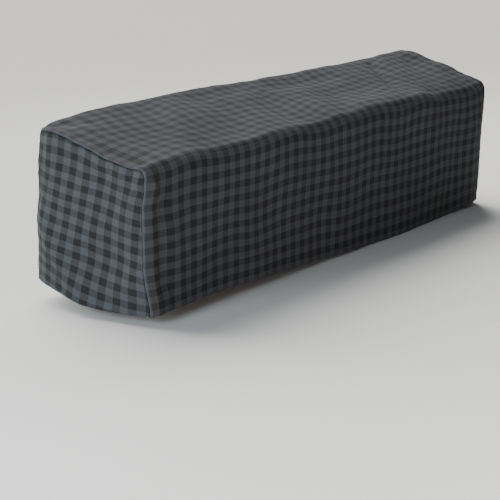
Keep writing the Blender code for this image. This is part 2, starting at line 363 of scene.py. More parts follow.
def settle(points):
    """Moves points of the plain cover to where the solids hang."""
    points = np.asarray(points, dtype=float)
    return (points + corner_shift(points) + soft_corner_shift(points) + end_bulge_shift(points)
            + hem_shift(points) + fold_shift(points, FOLDS) + turned_corner_shift(points, TURNED_CORNER))


ORIGIN_HEIGHT = settle(TOP_MIDDLE)[0, 2] - SOLID_CLOTH
print(f"the origin lies {ORIGIN_HEIGHT * 1000:.1f} mm above the plain hem")

# %% [markdown]
# ## Creases, puckers and slack
#
# Finer things come on top of the folds. The upright edges at the back of the left end are set a few
# millimetres more exactly, and the turned corner gets a crisp fold line. Creases are placed where the
# cloth is strained or squeezed: at the upper corners, along the front upright seam and across the right
# of the top. Puckers are the small ripples where a seam or a hem draws the cloth together. They run square
# to the seam, each with its own spacing, length and height. Slack is the slow unevenness of cloth that
# nothing pulls flat, a sum of a few long waves.

# %% Edges set more exactly
EDGE_NUDGES = (
    # end, side, level, reach, x, y, z
    (-1, 1, 0, 0.250, -0.007, 0.010, 0.000),
    (-1, 1, 1, 0.250, 0.000, 0.005, 0.000),
    (-1, 1, 0, 0.090, 0.001, -0.001, 0.000),
    (-1, 1, 1, 0.080, 0.005, -0.006, -0.003),
)
CRISP_TURN = {"face": "left", "start": (0.139, 0.121), "end": (0.035, 0.000),
              "slope": 0.210, "softness": 0.006}
print(len(EDGE_NUDGES), "small moves of the upright edges")

# %% Creases
CREASES = in_metres({
    # from, to, height outward, width, in millimetres along the face
    # Left end: pinches under the top seam, and the hollow beside the upright seam
    "left": [
        (-60, 262, -35, 232, -2.2, 10),
        (-85, 256, -75, 222, 1.6, 9),
        (-112, 256, -104, 238, -2.6, 8),
        (-132, 244, -112, 212, 1.6, 7),
        (-134, 215, -136, 10, -6, 20),
        (-30, 238, -110, 222, -3, 20),
        (150, 170, 150, 90, -3, 50),
        (150, 310, 150, 275, -3, 28),
        (-95, 165, 85, 88, 3, 30),
        (-100, 92, -10, 80, -2.4, 22),
        (-105, 48, -10, 30, 2.4, 22),
        (10, 275, 30, 240, -1.4, 10),
        (95, 285, 70, 235, 1.8, 12),
        (120, 270, 110, 150, -2, 10),
        (130, 110, 48, 14, -2.4, 6),
    ],
    # Front: the trough beside the upright seam and slow ridges along the face
    "front": [
        (-643, 235, -640, 0, 4.5, 16),
        (-618, 150, -616, 0, 2.5, 14),
        (-628, 240, -606, 180, -1.6, 11),
        (-655, 245, -630, 222, 1.8, 7),
        (-530, 230, -500, 60, 1.6, 22),
        (-300, 235, -250, 100, -1.6, 24),
        (-80, 235, -20, 60, 2, 26),
        (20, 90, 200, 20, 2.2, 30),
        (120, 130, 330, 70, -2, 26),
        (380, 225, 420, 90, 1.8, 24),
        (560, 245, 610, 180, -2.4, 14),
        (610, 250, 635, 200, 2.2, 12),
        (440, 262, 610, 262, -8, 40),
    ],
    # Top: slanting wrinkles towards the right end, strain at the left corners, slow waves between them
    "top": [
        (335, -60, 460, 95, -3.6, 10),
        (375, -70, 480, 70, 1, 14),
        (445, -50, 530, 80, -1.6, 11),
        (545, -100, 600, -20, 1.6, 12),
        (590, 110, 640, 30, -1.8, 11),
        (-645, 125, -560, 80, -2.2, 12),
        (-650, 90, -590, 50, 1.6, 10),
        (-650, -120, -600, -90, -1.4, 9),
        (-665, 90, -655, 60, 5, 24),
        (-670, 150, -655, 150, -3, 20),
        (440, -150, 600, -150, -8, 45),
        (665, -50, 665, 20, -4.5, 35),
        (120, -122, 360, -122, 4, 34),
        (-250, 90, -60, 90, -4, 30),
        (-440, -60, -330, 90, 3.6, 36),
        (-330, -100, -230, 40, -4, 36),
        (-130, -90, -50, 40, -3.4, 34),
        (-10, -110, 70, 20, 3.2, 32),
        (-665, -50, -660, -100, -8, 34),
        (20, 75, 240, 70, -6, 34),
        (120, -30, 380, -20, -3, 40),
        (-420, 60, -180, 70, -2.4, 40),
        (-180, 60, -120, 120, 2, 20),
        (-330, 100, -270, 130, -1.6, 20),
        (60, -115, 220, -95, 1.4, 18),
    ],
    # Right end and back, which hang as the rest does
    "right": [
        (-110, 240, -70, 150, -2.2, 13),
        (20, 250, 60, 120, 2, 16),
        (110, 200, 90, 30, -2, 14),
        (-40, 100, -20, 0, 2, 18),
    ],
    "back": [
        (-665, 170, -665, 90, -4, 50),
        (-630, 260, -590, 120, -2.4, 13),
        (-250, 260, -210, 80, 2, 24),
        (160, 250, 120, 60, 2, 24),
        (300, 240, 330, 90, -1.8, 22),
        (630, 260, 600, 120, -2.2, 13),
    ],
})
print(len(CREASES), "creases")

# %% Puckers along the seams and the hem
PUCKER_LENGTH = (0.012, 0.032)
PUCKER_SLANT = 0.006
PUCKER_HEIGHT = (0.0002, 0.0006)
SEAM_PUCKERS = ((0.010, 0.021), (0.0030, 0.0048))   # least and most spacing, least and most width
HEM_PUCKERS = ((0.022, 0.055), (0.0080, 0.0150))

pucker_draws = np.random.default_rng(1881)


def puckers_along(face, start, end, inward, spacing, widths):
    """Ripples square to a line: places a random step apart, and ridges and troughs by turns."""
    start, end, inward = (np.array(value, dtype=float) for value in (start, end, inward))
    length = np.hypot(*(end - start))
    places = np.cumsum(pucker_draws.uniform(*spacing, int(length / spacing[0])))
    rows = []
    for number, place in enumerate(places[places < length]):
        root = start + (end - start) * place / length
        reach = inward * pucker_draws.uniform(*PUCKER_LENGTH)
        slant = (end - start) / length * pucker_draws.uniform(-PUCKER_SLANT, PUCKER_SLANT)
        height = (1.0 if number % 2 else -1.0) * pucker_draws.uniform(*PUCKER_HEIGHT)
        rows.append((face, root, root + reach + slant, height, pucker_draws.uniform(*widths)))
    return rows


def all_puckers():
    """Puckers on both sides of each end seam and up from the hem, for every face."""
    half_length, half_depth = LENGTH / 2, DEPTH / 2
    lines = []
    for end, side in ENDS:
        x, inward = end * half_length, (-end, 0)
        lines += [
            ("front", (x, 0), (x, FRONT_HEIGHT), inward, *SEAM_PUCKERS),
            ("back", (x, 0), (x, BACK_HEIGHT), inward, *SEAM_PUCKERS),
            ("top", (x, -half_depth), (x, half_depth), inward, *SEAM_PUCKERS),
            (side, (-half_depth, 0), (-half_depth, FRONT_HEIGHT), (1, 0), *SEAM_PUCKERS),
            (side, (half_depth, 0), (half_depth, BACK_HEIGHT), (-1, 0), *SEAM_PUCKERS),
            (side, (-half_depth, FRONT_HEIGHT), (half_depth, BACK_HEIGHT), (0, -1), *SEAM_PUCKERS),
            (side, (-half_depth, 0), (half_depth, 0), (0, 1), *HEM_PUCKERS),
        ]
    for face in ("front", "back"):
        lines.append((face, (-half_length, 0), (half_length, 0), (0, 1), *HEM_PUCKERS))
    return [pucker for line in lines for pucker in puckers_along(*line)]


PUCKERS = all_puckers()
print(len(PUCKERS), "puckers")

# %% Slack, and the cloth as it hangs
SLACK_WAVES = 14
SLACK_WAVE_LENGTH = (0.070, 0.260)
SLACK_HEIGHT = 0.0003

slack_draws = np.random.default_rng(7)
slack_turns = slack_draws.normal(size=(SLACK_WAVES, 3))
slack_turns *= (2 * np.pi / slack_draws.uniform(*SLACK_WAVE_LENGTH, SLACK_WAVES)
                / np.linalg.norm(slack_turns, axis=1))[:, None]
slack_starts = slack_draws.uniform(0.0, 2 * np.pi, SLACK_WAVES)


def slack_shift(points):
    """Slow unevenness: the sum of a few sine waves in all directions, pushed out of each face."""
    height = SLACK_HEIGHT * np.sin(points @ slack_turns.T + slack_starts).sum(axis=1)
    shift = np.zeros_like(points)
    for face, weight in face_weights(points).items():
        shift += (height * weight)[:, None] * FACES[face][1]
    return shift


def nudge_shift(points):
    """Moves of upright edges: nearness to both faces times the cube of nearness to the hem or the top."""
    upward = up_share(points)
    shift = np.zeros_like(points)
    for end, side, level, reach, *move in EDGE_NUDGES:
        share = nearness(points, end, side, reach) * (upward if level else 1.0 - upward) ** 3
        shift += share[:, None] * np.array(move)
    return shift


def hang(points):
    """Moves points of the plain cover to where the fine cloth hangs, about the part's own origin."""
    points = np.asarray(points, dtype=float)
    fine = fold_shift(points, CREASES) + fold_shift(points, PUCKERS, tapered=True) + slack_shift(points)
    fine = fine + nudge_shift(points) + turned_corner_shift(points, CRISP_TURN)
    return settle(points) + fine - (0.0, 0.0, ORIGIN_HEIGHT)


print("slack at the middle of the top, mm:", np.round(slack_shift(TOP_MIDDLE) * 1000, 2))

# %% [markdown]
# ## Paths of cloth
#
# Seen in section, every piece of this cover is straight runs joined by round turns: the hem turned up
# inside, the face, the round edge, the top. One function can walk all of them. Each run is a length and
# the angle that it turns through, and within a run the chord from its start is the distance walked times
# the sinc of half the turn made so far, in the run's first direction plus that half turn.

# %% Walk a path of runs and turns
HEM_DEPTH = 0.012
HEM_GAP = 0.0020          # between the outer face of the hem and that of its turned-up cloth
CLOTH = 0.0008


def walk(runs, distances, start, heading):
    """Points, and directions to their left, at distances along runs of (length, angle turned)."""
    lengths, turns = np.array(runs, dtype=float).T
    ends = np.concatenate(([0.0], np.cumsum(lengths)))
    headings = heading + np.concatenate(([0.0], np.cumsum(turns)))
    halfway = headings[:-1] + turns / 2
    chords = lengths * np.sinc(turns / 2 / np.pi)
    strides = chords[:, None] * np.column_stack((np.cos(halfway), np.sin(halfway)))
    corners = np.array(start) + np.vstack(([0.0, 0.0], np.cumsum(strides, axis=0)))
    which = np.clip(np.searchsorted(ends, distances, side="right") - 1, 0, len(lengths) - 1)
    walked = distances - ends[which]
    turned = turns[which] * walked / lengths[which]
    direction = headings[which] + turned / 2
    chord = walked * np.sinc(turned / 2 / np.pi)
    points = corners[which] + chord[:, None] * np.column_stack((np.cos(direction), np.sin(direction)))
    left = headings[which] + turned + np.pi / 2
    return points, np.column_stack((np.cos(left), np.sin(left)))


def bend(radius, angle):
    """A round turn as a run: its length is the radius times the angle, which is negative to the right."""
    return radius * abs(angle), angle


hem_turn = bend(HEM_GAP / 2, -np.pi)
quarter_end, _ = walk([bend(0.1, -np.pi / 2)], np.array([0.05 * np.pi]), (0, 0), 0.0)
print("a quarter turn to the right ends at", np.round(quarter_end, 4).tolist())

# %% Section of the strip, from hem to hem
slope = np.arctan2(BACK_HEIGHT - FRONT_HEIGHT, DEPTH)
front_turn = np.pi / 2 - slope
back_turn = np.pi / 2 + slope
front_cut = FRONT_EDGE_RADIUS * np.tan(front_turn / 2)
back_cut = BACK_EDGE_RADIUS * np.tan(back_turn / 2)

TURN_UP = (HEM_DEPTH - HEM_GAP / 2, 0.0)
SECTION_RUNS = (
    TURN_UP,
    hem_turn,
    (FRONT_HEIGHT - front_cut - HEM_GAP / 2, 0.0),
    bend(FRONT_EDGE_RADIUS, -front_turn),
    (np.hypot(DEPTH, BACK_HEIGHT - FRONT_HEIGHT) - front_cut - back_cut, 0.0),
    bend(BACK_EDGE_RADIUS, -back_turn),
    (BACK_HEIGHT - back_cut - HEM_GAP / 2, 0.0),
    hem_turn,
    TURN_UP,
)
# Where each run starts, and where the last one ends
(_, front_hem, front_face, front_edge, top_face, back_edge, back_face, back_hem, back_turn_up,
 cloth_end) = np.concatenate(([0.0], np.cumsum([length for length, _ in SECTION_RUNS])))
SECTION_START = (-DEPTH / 2 + HEM_GAP, HEM_DEPTH)


def section(distances):
    """Section of the plain cover: y, z and the outward direction at distances along the cloth."""
    return walk(SECTION_RUNS, distances, SECTION_START, -np.pi / 2)


print(f"cloth from hem to hem: {cloth_end:.3f} m")

# %% [markdown]
# ## The seam
#
# The strip is sewn to each end panel with the right sides together, and then the cover is turned out. So
# the strip's edge rolls round the end, drops a little and turns in. The panel's edge turns in just below
# it, and the two allowances lie side by side inside. Between the two turns is the narrow groove that
# shows as a dark line on the real cover, with the roll as a lighter line beside it.

# %% Seam paths
ROLL_RADIUS = 0.0035
SEAM_DEPTH = 0.0060       # from the section curve down to the strip's allowance
SEAM_GAP = 0.0003
TURN_RADIUS = 0.0018
SET_IN = 0.0012           # the panel beside the seam lies this much behind the strip's edge
ALLOWANCE = 0.009
QUARTER = np.pi / 2

STRIP_EDGE_RUNS = (
    bend(ROLL_RADIUS, -QUARTER),
    (SEAM_DEPTH - ROLL_RADIUS - TURN_RADIUS, 0.0),
    bend(TURN_RADIUS, -QUARTER),
    (ALLOWANCE, 0.0),
)
PANEL_EDGE_RUNS = (
    (ALLOWANCE, 0.0),
    bend(TURN_RADIUS, -QUARTER),
)
STRIP_EDGE_LENGTH = sum(length for length, _ in STRIP_EDGE_RUNS)
PANEL_EDGE_LENGTH = sum(length for length, _ in PANEL_EDGE_RUNS)


def strip_edge(distances):
    """Distance past the end and height above the section curve, from the roll's start to the tip."""
    return walk(STRIP_EDGE_RUNS, distances, (-ROLL_RADIUS, 0.0), 0.0)[0]


def panel_edge(distances):
    """The same for the panel, from the tip of its allowance to the start of its flat field."""
    tip = (-SET_IN - TURN_RADIUS - ALLOWANCE, -SEAM_DEPTH - SEAM_GAP)
    return walk(PANEL_EDGE_RUNS, distances, tip, 0.0)[0]


print(f"edge of the strip: {STRIP_EDGE_LENGTH * 1000:.1f} mm of cloth past the flat part")

# %% [markdown]
# ## Grids
#
# Each piece is a grid of points with two parameters: how far along the cover, and how far round the
# section. The rows are close together at the hem, the round edges and the seams, and further apart on the
# flat faces. A small function spaces them: it takes stretches, each with its end and its number of steps.

# %% Spacing of rows and columns
def spaced(start, stretches):
    """Places from a start through stretches of (end, steps), evenly spaced within each."""
    places = [start]
    for end, steps in stretches:
        places += list(np.linspace(places[-1], end, steps + 1)[1:])
    return np.array(places)


def stepped(runs, steps):
    """Places along runs of (length, angle turned), with a number of steps for each run."""
    return spaced(0.0, zip(np.cumsum([length for length, _ in runs]), steps))


print("two steps up to 1 and three up to 4:", spaced(0.0, ((1.0, 2), (4.0, 3))).tolist())

# %% From a grid to a mesh
def grid_faces(indices):
    """Four-sided faces between the rows and columns of an array of point numbers."""
    return np.stack((indices[:-1, :-1], indices[1:, :-1], indices[1:, 1:], indices[:-1, 1:]),
                    axis=-1).reshape(-1, 4)


def joined(points, cloth_places, faces):
    """Joins points that lie at one place, drops those that no face uses, and numbers the corners again."""
    _, first, same = np.unique(np.round(points, 6), axis=0, return_index=True, return_inverse=True)
    faces = same.ravel()[faces]
    used, corners = np.unique(faces, return_inverse=True)
    return points[first[used]], cloth_places[first[used]], corners.reshape(faces.shape).tolist()


def make_mesh(name, points, faces, cloth_places=None):
    """A smooth mesh. Places on the flat cloth, in metres, become its UV map.

    Their third number is the distance from the seam, which becomes an attribute of the points.
    """
    mesh = bpy.data.meshes.new(name)
    mesh.from_pydata(points.tolist(), [], faces)
    mesh.shade_smooth()
    if cloth_places is not None:
        corners = np.empty(len(mesh.loops), dtype=int)
        mesh.loops.foreach_get("vertex_index", corners)
        layer = mesh.uv_layers.new(name="Cloth metres")
        layer.data.foreach_set("uv", cloth_places[corners, :2].ravel())
        from_seam = mesh.attributes.new("From seam", "FLOAT", "POINT")
        from_seam.data.foreach_set("value", np.ascontiguousarray(cloth_places[:, 2]))
    print(f"{name}: {len(faces)} faces")
    return add_object(name, mesh)


def thicken(piece, thickness):
    """Gives a sheet its thickness, inward from the face that shows."""
    solid = piece.modifiers.new("Cloth thickness", "SOLIDIFY")
    solid.thickness = thickness
    solid.offset = -1.0


print("faces between 2 rows and 3 columns:", grid_faces(np.arange(6).reshape(2, 3)).tolist())

# %% [markdown]
# ## The long strip
#
# On the real cover this is one cut of cloth, about 1.36 m wide and 0.89 m long. Its hem is folded up inside
# and sewn, which makes a slight welt along the edge with a groove at the stitches above it. Beside the end
# seams the allowances inside push it up into a low bead. Drawn over by hand, the cloth has also crept a
# few millimetres within its own surface, so its rows of checks run in slow waves.

# %% Hem welt
HEM_STITCH_HEIGHT = 0.0105
WELT_HEIGHT = 0.0004
WELT_TOP = 0.0145
GROOVE_DEPTH = 0.0005
GROOVE_WIDTH = 0.0013
HEM_EASE = 0.004          # up from the hem, over which the welt swells and raw cloth draws level


def welt(height):
    """Outward relief above the hem: a low round welt up to the stitches, less a groove at them."""
    swell = WELT_HEIGHT * ease((height - HEM_GAP / 2) / HEM_EASE)
    swell = swell * ease((WELT_TOP - height) / (WELT_TOP - HEM_STITCH_HEIGHT))
    groove = GROOVE_DEPTH * np.exp(-((height - HEM_STITCH_HEIGHT) / GROOVE_WIDTH) ** 2)
    return swell - groove


def raw_edge_drop(height):
    """How far cloth with no turned-up hem reaches down, to end level with the fold beside it."""
    return HEM_GAP / 2 * ease(1.0 - (height - HEM_GAP / 2) / HEM_EASE)


def strip_points(along, height, at_seam, distances):
    """Points of the plain strip for every place along the cover and every distance round the section.

    The place along is x, and the height is how far the point lies off the section curve. The welt of
    the hem is added on the two faces, where the section runs upright below the welt's top.
    """
    yz, outward = section(distances)
    on_face = (distances >= front_face) & (distances <= back_hem)
    relief = np.where(on_face, welt(yz[:, 1]), 0.0)
    lift = height[:, None] + relief[None, :]
    offset = yz[None] + lift[..., None] * outward[None]
    offset[..., 1] -= at_seam[:, None] * np.where(on_face, raw_edge_drop(yz[:, 1]), 0.0)
    x = np.broadcast_to(along[:, None, None], (len(along), len(distances), 1))
    return np.concatenate((x, offset), axis=-1)


print("relief at the stitches, mm:", np.round(welt(np.array([0.004, HEM_STITCH_HEIGHT, 0.02])) * 1000, 2))

# %% Rows and columns of the strip
BELOW_GROOVE, ABOVE_GROOVE, HEM_ZONE = 0.0085, 0.0135, 0.020   # up from the hem, with close rows
SECTION_ROWS = spaced(0.0, (
    (front_hem, 3),
    (front_face, 5),
    (front_face + BELOW_GROOVE, 3),
    (front_face + ABOVE_GROOVE, 6),
    (front_face + HEM_ZONE, 3),
    (front_edge, 42),
    (top_face, 7),
    (back_edge, 46),
    (back_face, 6),
    (back_hem - HEM_ZONE, 34),
    (back_hem - ABOVE_GROOVE, 3),
    (back_hem - BELOW_GROOVE, 6),
    (back_hem, 3),
    (back_turn_up, 5),
    (cloth_end, 3),
))
EDGE_STEPS = stepped(STRIP_EDGE_RUNS, (7, 2, 5, 2))
FLAT_END = LENGTH / 2 - ROLL_RADIUS
BEAD_HEIGHT = 0.0007      # the allowances inside push the strip up a little beside the seam
BEAD_WIDTH = 0.010
FINEST, FINE = 0.036, 0.100   # from the seams, where the columns are close
FLAT_COLUMNS = spaced(-FLAT_END, (
    (-FLAT_END + FINEST, 13),
    (-FLAT_END + FINE, 12),
    (FLAT_END - FINE, 173),
    (FLAT_END - FINEST, 12),
    (FLAT_END, 13),
))
print(len(SECTION_ROWS), "rows round the section,", len(FLAT_COLUMNS), "columns between the seams")

# %% Surface of the strip
def strip_surface():
    """The strip's outer surface: points, places on the flat cloth, and faces.

    Columns run from the left tip over the flat part to the right tip. The turned-up hem stays within the
    flat columns, because the seams take the cloth beside it.
    """
    edge = strip_edge(EDGE_STEPS)
    past_right = edge[1:]
    past_left = edge[:0:-1]
    along = np.concatenate((-LENGTH / 2 - past_left[:, 0], FLAT_COLUMNS, LENGTH / 2 + past_right[:, 0]))
    bead = BEAD_HEIGHT * ease(1.0 - (FLAT_END - np.abs(FLAT_COLUMNS)) / BEAD_WIDTH)
    height = np.concatenate((past_left[:, 1] + BEAD_HEIGHT, bead, past_right[:, 1] + BEAD_HEIGHT))
    walked = np.concatenate((-FLAT_END - EDGE_STEPS[:0:-1], FLAT_COLUMNS, FLAT_END + EDGE_STEPS[1:]))

    edges = len(EDGE_STEPS) - 1
    at_seam = np.ones(len(along))
    at_seam[edges:-edges] = 0.0
    points = strip_points(along, height, at_seam, SECTION_ROWS)
    across, round_section = np.meshgrid(walked, SECTION_ROWS, indexing="ij")
    from_seam = FLAT_END + STRIP_EDGE_LENGTH - ALLOWANCE - np.abs(across)
    cloth_places = np.stack((across, round_section, from_seam), axis=-1)

    faces = grid_faces(np.arange(across.size).reshape(across.shape))
    row_middles = (SECTION_ROWS[:-1] + SECTION_ROWS[1:]) / 2
    turned_up = (row_middles < front_face) | (row_middles > back_hem)
    paint_beside_seam = (at_seam[:-1] + at_seam[1:]) > 0.0
    faces = faces[~np.outer(paint_beside_seam, turned_up).ravel()]
    return joined(points.reshape(-1, 3), cloth_places.reshape(-1, 3), faces)


strip_sheet, strip_places, strip_faces = strip_surface()
print("the strip has", len(strip_sheet), "points")

# %% Creep, and the strip as it hangs
CREEP_WAVES = (
    # moved along the cover and round it, wave length along and round, start; all in metres but the start
    (0.0085, 0.0000, 0.90, 0.24, 0.3),
    (0.0045, 0.0000, -0.55, 0.35, 1.7),
    (0.0000, 0.0065, 0.30, 0.80, 0.9),
    (0.0000, 0.0030, 0.17, -0.60, 2.4),
)
CREEP_FADE = 0.10         # no creep at the hems and the seams, which hold the cloth
CREEP_TURN = 0.06         # over which it lessens from the top to the faces
CREEP_ON_FACES = 0.35     # share of it on the front and the back, which hang by their own weight


def creep(places):
    """How far the cloth has crept within its own surface: sine waves, faded out at the hems and seams."""
    across, round_section = places[:, 0], places[:, 1]
    held = ease((round_section - front_face) / CREEP_FADE) * ease((back_hem - round_section) / CREEP_FADE)
    held = held * ease((FLAT_END - np.abs(across)) / CREEP_FADE)
    on_top = ease((round_section - front_edge) / CREEP_TURN)
    on_top = on_top * ease((back_face - round_section) / CREEP_TURN)
    held = held * (CREEP_ON_FACES + (1.0 - CREEP_ON_FACES) * on_top)
    moves = np.zeros((len(places), 3))
    for along, around, wave_along, wave_round, start in CREEP_WAVES:
        turn = 2 * np.pi * (across / wave_along + round_section / wave_round) + start
        moves += (held * np.sin(turn))[:, None] * (along, around, 0.0)
    return moves


strip_places = strip_places + creep(strip_places)
main_strip_cloth = make_mesh("main_strip_cloth", hang(strip_sheet), strip_faces, strip_places)
thicken(main_strip_cloth, CLOTH)

# %% [markdown]
# ## The end panels
#
# A panel's outline is the section curve, a seam's depth inside it. Its field is blended from that outline:
# each inside point is the sum of its place between front and back and its place between hem and top, less
# its place between the corners. Its three sewn sides turn in below the strip's, and its hem is turned up.
# The field stands back a little beside the seam, so that the groove there stays in shadow. A panel's rows
# run nearly along its sloping top, so its flat places are turned a few degrees.

# %% Outline and field of a panel
PANEL_INSET = SEAM_DEPTH + SEAM_GAP + TURN_RADIUS
PANEL_ROWS = spaced(0.0, ((BELOW_GROOVE, 4), (ABOVE_GROOVE, 6), (HEM_ZONE, 3), (1.0, 72)))
PANEL_COLUMNS = 92


def panel_sides():
    """Distances round the section for the panel's front side, top side and back side."""
    front_middle = (front_edge + top_face) / 2
    back_middle = (back_edge + back_face) / 2
    share = clamp((PANEL_ROWS - HEM_ZONE) / (1.0 - HEM_ZONE))
    low = np.minimum(PANEL_ROWS, HEM_ZONE)
    front = front_face + low + share * (front_middle - front_face - HEM_ZONE)
    back = back_hem - low - share * (back_hem - back_middle - HEM_ZONE)
    return front, np.linspace(front_middle, back_middle, PANEL_COLUMNS + 1), back


def blended_field(front, top, back):
    """Points inside the outline, from front to back in columns and from hem to top in rows.

    Each point is its place between the two sides plus its place between hem and top, less its place
    between the four corners.
    """
    steps = np.linalg.norm(np.diff(front, axis=0), axis=1)
    upward = (np.concatenate(([0.0], np.cumsum(steps))) / steps.sum())[None, :, None]
    across = np.linspace(0.0, 1.0, len(top))[:, None, None]
    hem = (1 - across) * front[0] + across * back[0]
    sides = (1 - across) * front[None] + across * back[None]
    ends = (1 - upward) * hem + upward * top[:, None]
    corners = (1 - upward) * hem + upward * ((1 - across) * front[-1] + across * back[-1])
    return sides + ends - corners


print(f"a panel's field starts {PANEL_INSET * 1000:.1f} mm inside the section curve")

# %% Sewn edge, hem and grain of a panel
PANEL_EDGE_STEPS = stepped(PANEL_EDGE_RUNS, (2, 5))
HEM_RUNS = (TURN_UP, hem_turn)
HEM_STEPS = stepped(HEM_RUNS, (3, 5))
FREE_OF_SEAM = 2          # columns at each side that the turned-up hem leaves to the seam
AWAY_FROM_SEAM = 1.0      # for cloth that no seam is near
SET_IN_FADE = 0.014       # over which the field comes back level with the strip's edge
GRAIN = np.radians(7.0)   # the panels are cut with their rows nearly along the sloping top


def ring_surface(end, outline):
    """The sewn edge: points that turn in along the panel's outline, and their places on the flat cloth."""
    yz, outward = section(outline)
    past, height = panel_edge(PANEL_EDGE_STEPS).T
    offset = yz[None] + height[:, None, None] * outward[None]
    offset[..., 1] -= raw_edge_drop(yz[:, 1])[None]
    x = np.broadcast_to(end * (LENGTH / 2 + past)[:, None, None], offset.shape[:2] + (1,))
    left = PANEL_EDGE_LENGTH - PANEL_EDGE_STEPS - PANEL_INSET
    flat = yz[None] + left[:, None, None] * outward[None]
    from_seam = np.broadcast_to((PANEL_EDGE_STEPS - ALLOWANCE)[:, None, None], flat.shape[:2] + (1,))
    return np.concatenate((x, offset), axis=-1), np.concatenate((flat, from_seam), axis=-1)


def inset_of(field):
    """How far each point of the field lies inside its border: the nearest of front, back and top sides."""
    y, z = field[..., 1], field[..., 2]
    from_sides = np.minimum(y - y[:1], y[-1:] - y)
    return np.minimum(from_sides, z[:, -1:] - z)


def panel_hem(end, edge):
    """The hem turned up inside, below each point of the field's edge: points and flat places."""
    inward, z = walk(HEM_RUNS, HEM_STEPS, (HEM_GAP, HEM_DEPTH), -np.pi / 2)[0].T
    y, inward = np.meshgrid(edge[:, 1], inward, indexing="ij")
    z = np.broadcast_to(z, y.shape)
    flat_z = HEM_GAP / 2 - (HEM_STEPS[-1] - HEM_STEPS)
    points = np.stack((edge[:, :1] - end * inward, y, z), axis=-1)
    flat_z, away = np.broadcast_to(flat_z, y.shape), np.full(y.shape, AWAY_FROM_SEAM)
    return points, np.stack((y, flat_z, away), axis=-1)


def on_grain(places):
    """Places on the flat cloth, turned about the panel's middle to the slant of its grain."""
    (c, s), middle = (np.cos(GRAIN), np.sin(GRAIN)), np.array([0.0, BACK_HEIGHT / 2])
    turned = (places[:, :2] - middle) @ np.array([[c, -s], [s, c]]) + middle
    return np.column_stack((turned, places[:, 2]))


print(f"a panel's sewn edge turns in over {PANEL_EDGE_LENGTH * 1000:.1f} mm of cloth")

# %% The two end panels
def panel_surface(end):
    """One end panel: points, places on the flat cloth, and faces that point away from the cover."""
    front_side, top_side, back_side = panel_sides()
    outline = np.concatenate((front_side, top_side[1:-1], back_side[::-1]))
    ring, ring_flat = ring_surface(end, outline)
    border = ring[-1]
    count = len(front_side)
    front, back = border[:count], border[:-count - 1:-1]
    top = np.vstack((front[-1:], border[count:-count], back[-1:]))
    field = blended_field(front, top, back)
    field_flat = np.concatenate(
        (field[..., 1:], PANEL_EDGE_LENGTH - ALLOWANCE + inset_of(field)[..., None]), axis=-1)

    fade = np.minimum(np.arange(len(field)), np.arange(len(field))[::-1]) / FREE_OF_SEAM
    inside = ease(fade)[:, None]
    field[..., 0] += end * inside * welt(field[..., 2])
    field[..., 0] += end * SET_IN * ease(inset_of(field) / SET_IN_FADE)
    level = np.where(inside > 0, HEM_GAP / 2, 0.0) * (PANEL_ROWS == 0.0)
    field[..., 2] = np.maximum(field[..., 2], level)

    hem, hem_flat = panel_hem(end, field[FREE_OF_SEAM:-FREE_OF_SEAM, 0])
    parts = ((field, field_flat, False), (hem, hem_flat, False), (ring, ring_flat, True))
    points = np.concatenate([part.reshape(-1, 3) for part, _, _ in parts])
    places = on_grain(np.concatenate([flat.reshape(-1, 3) for _, flat, _ in parts]))
    faces, first = [], 0
    for part, _, turned in parts:
        indices = first + np.arange(part.shape[0] * part.shape[1]).reshape(part.shape[:2])
        corners = grid_faces(indices)
        faces.append(corners if (end > 0) != turned else corners[:, ::-1])
        first += indices.size
    return joined(points, places, np.concatenate(faces))


panel_pieces = {}
for end, side in ENDS:
    sheet, places, faces = panel_surface(end)
    panel_pieces[side] = make_mesh(f"end_panel_{side}_cloth", hang(sheet), faces, places)
    thicken(panel_pieces[side], CLOTH)

# %% [markdown]
# ## Stitches
#
# The hem is held by one row of lockstitches. From outside, each stitch is a short arch of thread that
# sinks into the cloth at both ends, and the row lies in the groove above the welt. Inside, the bobbin
# thread looks the same. One stitch has only a few dozen faces, because there are hundreds of them.

# %% One stitch, and a row of them
STITCH_PITCH = 0.005
STITCH_LENGTH = 0.0038
THREAD_RADIUS = 0.00028
THREAD_RISE = 0.55        # of the thread's middle at the top of its arch, in radii
THREAD_SINK = 0.45        # of its ends into the cloth, in radii
THREAD_END = 0.02         # square of the share of the radius that is left at the ends
STITCH_RINGS = 5
STITCH_SIDES = 6


def stitch_shape():
    """One stitch along its first axis, in two parameters: along it and round it.

    The thread's middle rises as half a sine wave, and its radius is the square root of that wave.
    """
    along = np.linspace(0.0, 1.0, STITCH_RINGS + 2)
    around = np.arange(STITCH_SIDES) * 2 * np.pi / STITCH_SIDES
    wave = np.sin(np.pi * along)
    radius = THREAD_RADIUS * np.sqrt(np.clip(wave, THREAD_END, 1.0))
    middle = THREAD_RADIUS * (THREAD_RISE * wave - THREAD_SINK)
    first = np.repeat(STITCH_LENGTH * (along - 0.5), STITCH_SIDES).reshape(-1, STITCH_SIDES)
    second = radius[:, None] * np.cos(around)
    third = middle[:, None] + radius[:, None] * np.sin(around)
    shape = np.stack((first, second, third), axis=-1).reshape(-1, 3)
    ring = np.arange(len(shape)).reshape(-1, STITCH_SIDES)
    faces = grid_faces(np.hstack((ring, ring[:, :1]))).tolist()
    return shape, faces + [ring[0].tolist(), ring[-1, ::-1].tolist()]


def stitch_row(start, end, outward):
    """Points of stitches a pitch apart between two places, standing out along the outward direction."""
    start, end, outward = (np.array(value, dtype=float) for value in (start, end, outward))
    length = np.linalg.norm(end - start)
    run = (end - start) / length
    count = int(length / STITCH_PITCH)
    middles = start + ((np.arange(count) + 0.5) * length / count)[:, None] * run
    axes = np.vstack((run, np.cross(outward, run), outward))
    return (middles[:, None] + (stitch_shape()[0] @ axes)[None]).reshape(-1, 3)


